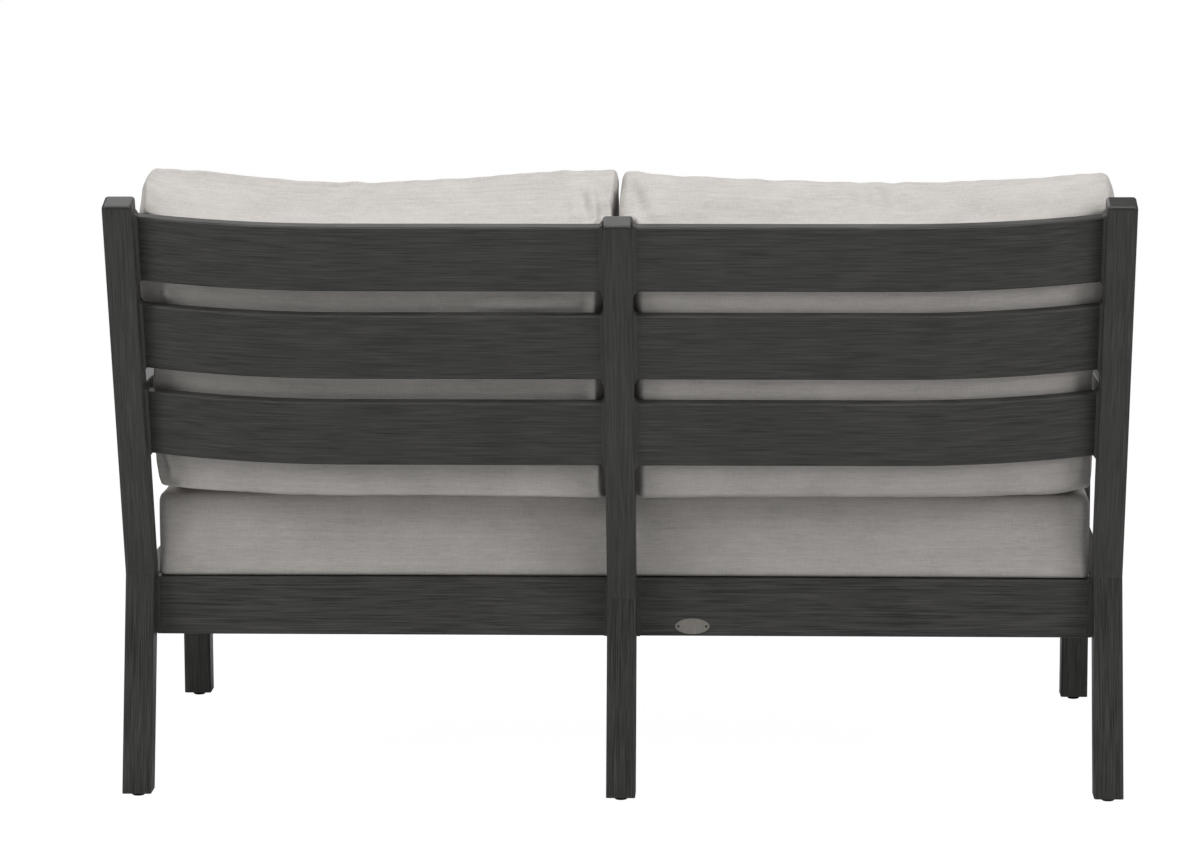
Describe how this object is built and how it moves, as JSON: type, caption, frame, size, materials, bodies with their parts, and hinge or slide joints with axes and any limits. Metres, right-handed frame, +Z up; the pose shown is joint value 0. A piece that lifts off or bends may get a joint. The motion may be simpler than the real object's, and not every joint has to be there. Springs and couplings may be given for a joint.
{
  "type": "patio loveseat",
  "caption": "Outdoor loveseat with a square-tube metal frame, reclined slatted back, open arms, a bench seat cushion and loose back cushions.",
  "frame": {"origin": "bottom centre of the object's box at rest, on the ground under the glides", "axes": "+Z up, +X towards the sitter's left along the length, +Y to the rear, so the front of the seat faces -Y"},
  "size_m": [1.422, 0.8104, 0.8783],
  "materials": {
    "frame_metal": "fine-texture satin powder coat, dark warm grey",
    "weld_bead": "ground weld bead under the same powder coat",
    "post_cap": "powder-coated cap with its edges turned down",
    "plate_metal": "blank oval plate, brushed and dulled by weather, with two small dark rivets",
    "leg_plug": "moulded nylon plug inside the leg",
    "glide": "moulded black nylon glide",
    "cushion_fabric": "woven outdoor fabric, warm light taupe, plain knife-edge seams"
  },
  "bodies": {
    "frame": {"arm_left": "frame_metal", "arm_right": "frame_metal", "back_post_left": "frame_metal", "back_post_middle": "frame_metal", "back_post_right": "frame_metal", "centre_stretcher": "frame_metal", "front_glide_left": "glide", "front_glide_right": "glide", "front_leg_left": "frame_metal", "front_leg_plug_left": "leg_plug", "front_leg_plug_right": "leg_plug", "front_leg_right": "frame_metal", "front_rail": "frame_metal", "lower_slat_left": "frame_metal", "lower_slat_right": "frame_metal", "middle_slat_left": "frame_metal", "middle_slat_right": "frame_metal", "oval_plate": "plate_metal", "plate_rivets": "plate_metal", "post_cap_left": "post_cap", "post_cap_middle": "post_cap", "post_cap_right": "post_cap", "rail_welds": "weld_bead", "rear_glide_left": "glide", "rear_glide_middle": "glide", "rear_glide_right": "glide", "rear_leg_left": "frame_metal", "rear_leg_middle": "frame_metal", "rear_leg_plug_left": "leg_plug", "rear_leg_plug_middle": "leg_plug", "rear_leg_plug_right": "leg_plug", "rear_leg_right": "frame_metal", "rear_rail": "frame_metal", "seat_bar_left_1": "frame_metal", "seat_bar_left_2": "frame_metal", "seat_bar_left_3": "frame_metal", "seat_bar_left_4": "frame_metal", "seat_bar_right_1": "frame_metal", "seat_bar_right_2": "frame_metal", "seat_bar_right_3": "frame_metal", "seat_bar_right_4": "frame_metal", "side_rail_left": "frame_metal", "side_rail_right": "frame_metal", "slat_welds_left": "weld_bead", "slat_welds_middle_left": "weld_bead", "slat_welds_middle_right": "weld_bead", "slat_welds_right": "weld_bead", "upper_slat_left": "frame_metal", "upper_slat_right": "frame_metal"},
    "seat_cushion": {"seat_cushion": "cushion_fabric"},
    "back_cushion_left": {"back_cushion_left": "cushion_fabric"},
    "back_cushion_right": {"back_cushion_right": "cushion_fabric"}
  },
  "joints": [
    {"name": "seat_cushion_lift", "type": "slide", "parent": "frame", "child": "seat_cushion", "axis": [0, 0, 1], "range_m": [0, 0.25]},
    {"name": "back_cushion_left_lift", "type": "slide", "parent": "seat_cushion", "child": "back_cushion_left", "axis": [0, 0.2756, 0.9613], "range_m": [0, 0.35]},
    {"name": "back_cushion_right_lift", "type": "slide", "parent": "seat_cushion", "child": "back_cushion_right", "axis": [0, 0.2756, 0.9613], "range_m": [0, 0.35]}
  ]
}
